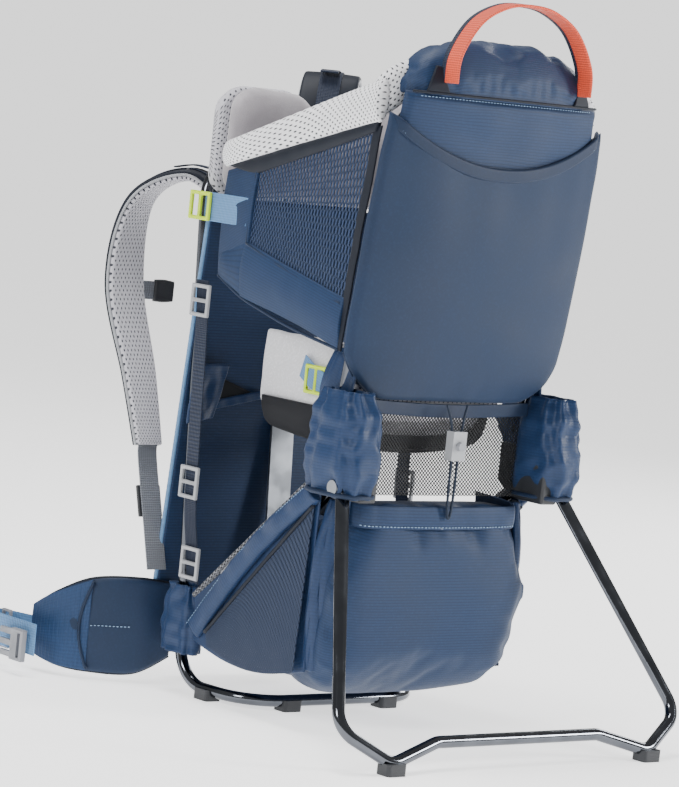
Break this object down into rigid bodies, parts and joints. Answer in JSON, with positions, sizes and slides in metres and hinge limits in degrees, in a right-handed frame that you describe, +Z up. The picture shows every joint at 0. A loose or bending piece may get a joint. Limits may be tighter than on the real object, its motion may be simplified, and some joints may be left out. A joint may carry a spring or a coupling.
{
  "type": "child carrier backpack",
  "caption": "Framed child carrier backpack with padded harness, cockpit seat, headrest, storage bag and fold-out stand.",
  "frame": {"origin": "floor level, middle of the footprint", "axes": "+Z up, +Y from the child towards the wearer, +X to the wearer's right"},
  "size_m": [0.5309, 0.6055, 0.7525],
  "materials": {
    "tube": "polished dark anodised",
    "rail_metal": "satin",
    "black_plastic": "moulded",
    "grey_plastic": "moulded",
    "lime_plastic": "moulded",
    "blue_fabric": "ripstop weave",
    "dark_fabric": "plain weave",
    "white_mesh": "spacer mesh",
    "dark_mesh": "open mesh",
    "grey_velour": "velour",
    "coral_webbing": "ribbed webbing",
    "dark_webbing": "webbing",
    "light_webbing": "webbing",
    "cord": "braided"
  },
  "bodies": {
    "frame": {"back_panel": "dark_fabric", "back_rail": "rail_metal", "base_feet": "black_plastic", "child_back_pad": "dark_fabric", "child_harness": "dark_webbing", "chin_pad": "grey_velour", "corner_sleeves": "blue_fabric", "drawcord": "cord", "eyelet": "rail_metal", "frame_webbing": "dark_webbing", "head_cushion": "grey_velour", "headrest_dome": "blue_fabric", "headrest_panel": "blue_fabric", "hinge_bracket_left": "black_plastic", "hinge_bracket_right": "black_plastic", "hinge_pins": "rail_metal", "hinge_sleeve_left": "blue_fabric", "hinge_sleeve_right": "blue_fabric", "ladder_locks": "grey_plastic", "lumbar_pad": "dark_fabric", "main_frame": "tube", "mesh_pockets": "dark_mesh", "rear_mesh_panel": "dark_mesh", "rim_pad_right": "white_mesh", "seat_frame": "tube", "side_gusset_left": "blue_fabric", "side_gusset_right": "blue_fabric", "side_panel_right": "blue_fabric", "side_strut_left": "tube", "side_strut_right": "tube", "storage_bag": "blue_fabric", "strap_webbing": "dark_webbing", "strut_sleeves": "blue_fabric"},
    "stand": {"kickstand": "tube", "kickstand_feet": "black_plastic"},
    "handle": {"grab_handle": "coral_webbing"},
    "yoke": {"yoke_plate": "black_plastic", "shoulder_strap_left": "dark_fabric", "shoulder_strap_right": "dark_fabric", "strap_slides": "grey_plastic", "load_lifters": "dark_webbing"},
    "sternum_left": {"sternum_strap_left": "dark_webbing"},
    "sternum_right": {"sternum_strap_right": "dark_webbing"},
    "fin_left": {"hip_fin_left": "blue_fabric", "hip_webbing_left": "light_webbing", "hip_ring_left": "grey_plastic", "hip_buckle_male": "grey_plastic"},
    "fin_right": {"hip_fin_right": "blue_fabric", "hip_webbing_right": "light_webbing", "hip_ring_right": "grey_plastic", "hip_buckle_female": "grey_plastic"},
    "side_entry": {"side_panel_left": "blue_fabric", "rim_pad_left": "white_mesh", "entry_strap_left": "light_webbing", "entry_buckle_left": "lime_plastic"},
    "seat": {"seat_pad": "white_mesh", "seat_buckle_left": "lime_plastic"},
    "cord_lock": {"cord_lock": "grey_plastic"},
    "cord_button": {"cord_lock_button": "grey_plastic"},
    "zip": {"bag_zip_slider": "grey_plastic"}
  },
  "joints": [
    {"name": "stand_fold", "type": "hinge", "parent": "frame", "child": "stand", "pos_m": [0, -0.145, 0.257], "axis": [1, 0, 0], "range_deg": [0, 64]},
    {"name": "handle_swing", "type": "hinge", "parent": "frame", "child": "handle", "pos_m": [0, -0.1775, 0.665], "axis": [1, 0, 0], "range_deg": [0, 105]},
    {"name": "yoke_slide", "type": "slide", "parent": "frame", "child": "yoke", "axis": [0, 0.0744, 0.9972], "range_m": [-0.05, 0.035], "deforming": ["strap_webbing"]},
    {"name": "sternum_left_slide", "type": "slide", "parent": "yoke", "child": "sternum_left", "axis": [0, 0.0744, 0.9972], "range_m": [-0.03, 0]},
    {"name": "sternum_right_slide", "type": "slide", "parent": "yoke", "child": "sternum_right", "axis": [0, 0.0744, 0.9972], "range_m": [-0.03, 0]},
    {"name": "fin_left_fold", "type": "hinge", "parent": "frame", "child": "fin_left", "pos_m": [-0.11, 0.1525, 0.068], "axis": [0, 0, 1], "range_deg": [-45, 15]},
    {"name": "fin_right_fold", "type": "hinge", "parent": "frame", "child": "fin_right", "pos_m": [0.11, 0.1525, 0.068], "axis": [0, 0, 1], "range_deg": [-15, 45]},
    {"name": "side_entry_open", "type": "hinge", "parent": "frame", "child": "side_entry", "pos_m": [-0.14, -0.148, 0.52], "axis": [0, 0, 1], "range_deg": [0, 75]},
    {"name": "seat_height", "type": "slide", "parent": "frame", "child": "seat", "axis": [0, 0, 1], "range_m": [-0.03, 0.025]},
    {"name": "cord_lock_slide", "type": "slide", "parent": "frame", "child": "cord_lock", "axis": [0, 0, 1], "range_m": [-0.045, 0.003]},
    {"name": "cord_button_press", "type": "slide", "parent": "cord_lock", "child": "cord_button", "axis": [0, 1, 0], "range_m": [0, 0.003], "stiffness_N_per_m": 400},
    {"name": "zip_run", "type": "slide", "parent": "frame", "child": "zip", "axis": [0, -0.7526, 0.6585], "range_m": [0, 0.12]}
  ]
}
